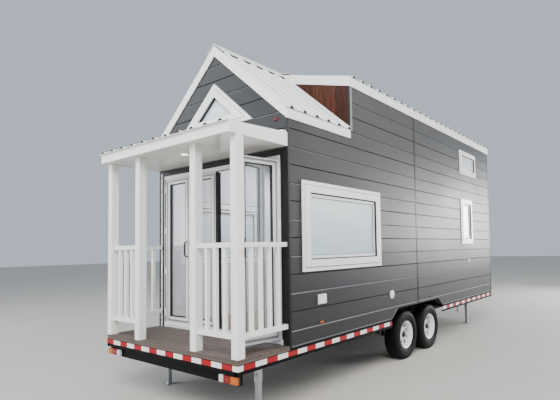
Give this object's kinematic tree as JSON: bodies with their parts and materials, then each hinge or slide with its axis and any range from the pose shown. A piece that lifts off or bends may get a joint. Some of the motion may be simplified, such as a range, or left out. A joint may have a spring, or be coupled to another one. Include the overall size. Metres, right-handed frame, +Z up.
{
  "type": "tiny house on wheels",
  "caption": "Small dwelling on a tandem-axle trailer with a steep front gable, raised rear roof, covered porch, folding door, road wheels and drop-down stabiliser legs.",
  "frame": {"origin": "centre of the footprint, on the ground", "axes": "+Z up, -Y towards the porch end, +Y towards the hitch, X across the house"},
  "size_m": [2.416, 9.01, 4.2281],
  "materials": {
    "siding": "satin, horizontal embossed boards",
    "roof_sheet": "satin ribbed sheet",
    "white_trim": "satin",
    "red_wood": "oiled vertical boards",
    "deck_wood": "weathered boards",
    "floor_wood": "satin boards",
    "chassis_black": "semi-gloss",
    "galvanised": "dull zinc",
    "tape": "retroreflective, red and white lengths",
    "lamp": "clear moulded lens",
    "door_white": "powder coat",
    "window_white": "satin",
    "glass": "clear",
    "fitting_white": "moulded",
    "tyre": "moulded",
    "rim_white": "gloss"
  },
  "bodies": {
    "house": {"main_beams": "chassis_black", "cross_members": "chassis_black", "perimeter_channel": "chassis_black", "lamp_beam": "chassis_black", "drawbar": "chassis_black", "coupler": "chassis_black", "drawbar_jack": "galvanised", "axles": "chassis_black", "leaf_springs": "chassis_black", "wheel_boxes": "chassis_black", "reflective_tape": "tape", "lamps": "lamp", "floor_slab": "floor_wood", "porch_deck": "deck_wood", "right_wall": "siding", "left_wall": "siding", "rear_wall": "siding", "front_wall_right": "siding", "front_wall_left": "white_trim", "front_gable": "siding", "cheek_walls": "red_wood", "gable_roof_right": "roof_sheet", "gable_roof_left": "roof_sheet", "main_roof_right": "roof_sheet", "main_roof_left": "roof_sheet", "ridge_cap": "roof_sheet", "gable_boards": "white_trim", "main_boards": "white_trim", "porch_roof": "roof_sheet", "porch_boards": "white_trim", "porch_posts": "white_trim", "railing_front_right": "white_trim", "railing_front_left": "white_trim", "railing_side_right": "white_trim", "railing_side_left": "white_trim", "door_frame": "door_white", "closed_leaves": "door_white", "folded_leaves": "door_white", "big_windows": "window_white", "high_windows": "window_white", "tall_windows": "window_white", "gable_window": "window_white", "glass": "glass", "wall_fittings": "fitting_white", "leg_sleeves": "galvanised"},
    "wheel_front_right": {"tyre_front_right": "tyre", "rim_front_right": "rim_white"},
    "wheel_front_left": {"tyre_front_left": "tyre", "rim_front_left": "rim_white"},
    "wheel_rear_right": {"tyre_rear_right": "tyre", "rim_rear_right": "rim_white"},
    "wheel_rear_left": {"tyre_rear_left": "tyre", "rim_rear_left": "rim_white"},
    "stabiliser_front_right": {"leg_front_right": "galvanised"},
    "stabiliser_front_left": {"leg_front_left": "galvanised"},
    "stabiliser_rear_right": {"leg_rear_right": "galvanised"},
    "stabiliser_rear_left": {"leg_rear_left": "galvanised"}
  },
  "joints": [
    {"name": "wheel_front_right_spin", "type": "hinge", "parent": "house", "child": "wheel_front_right", "pos_m": [1.0475, -1, 0.359], "axis": [1, 0, 0], "continuous": true},
    {"name": "wheel_front_left_spin", "type": "hinge", "parent": "house", "child": "wheel_front_left", "pos_m": [-1.0475, -1, 0.359], "axis": [1, 0, 0], "continuous": true},
    {"name": "wheel_rear_right_spin", "type": "hinge", "parent": "house", "child": "wheel_rear_right", "pos_m": [1.0475, -0.17, 0.359], "axis": [1, 0, 0], "continuous": true},
    {"name": "wheel_rear_left_spin", "type": "hinge", "parent": "house", "child": "wheel_rear_left", "pos_m": [-1.0475, -0.17, 0.359], "axis": [1, 0, 0], "continuous": true},
    {"name": "stabiliser_front_right_lift", "type": "slide", "parent": "house", "child": "stabiliser_front_right", "axis": [0, 0, 1], "range_m": [0, 0.23]},
    {"name": "stabiliser_front_left_lift", "type": "slide", "parent": "house", "child": "stabiliser_front_left", "axis": [0, 0, 1], "range_m": [0, 0.23]},
    {"name": "stabiliser_rear_right_lift", "type": "slide", "parent": "house", "child": "stabiliser_rear_right", "axis": [0, 0, 1], "range_m": [0, 0.23]},
    {"name": "stabiliser_rear_left_lift", "type": "slide", "parent": "house", "child": "stabiliser_rear_left", "axis": [0, 0, 1], "range_m": [0, 0.23]}
  ]
}
